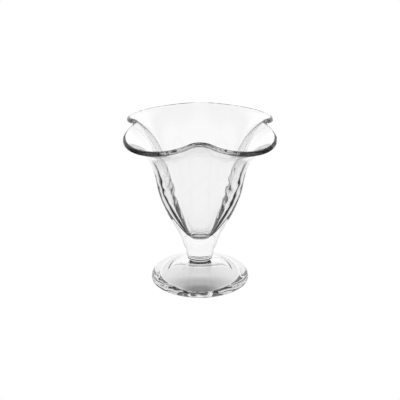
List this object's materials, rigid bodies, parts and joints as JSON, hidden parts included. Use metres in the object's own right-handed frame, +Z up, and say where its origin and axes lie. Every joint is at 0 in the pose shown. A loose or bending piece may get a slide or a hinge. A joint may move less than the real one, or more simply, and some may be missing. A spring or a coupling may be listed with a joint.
{
  "type": "parfait glass",
  "caption": "Clear pressed-glass parfait glass: a fluted bowl that flares into a petalled rim, on a short solid stem, a collar and a domed, hollow foot.",
  "frame": {"origin": "centre of the foot on the plane that the glass stands on", "axes": "+Z up along the glass's axis; +X and +Y through the notches of the rim, with the petals on the diagonals"},
  "size_m": [0.1052, 0.1052, 0.12],
  "materials": {
    "clear_glass": "fire-polished clear soda-lime glass"
  },
  "bodies": {
    "root": {"bowl": "clear_glass", "stem": "clear_glass", "collar": "clear_glass", "foot": "clear_glass"}
  },
  "joints": []
}
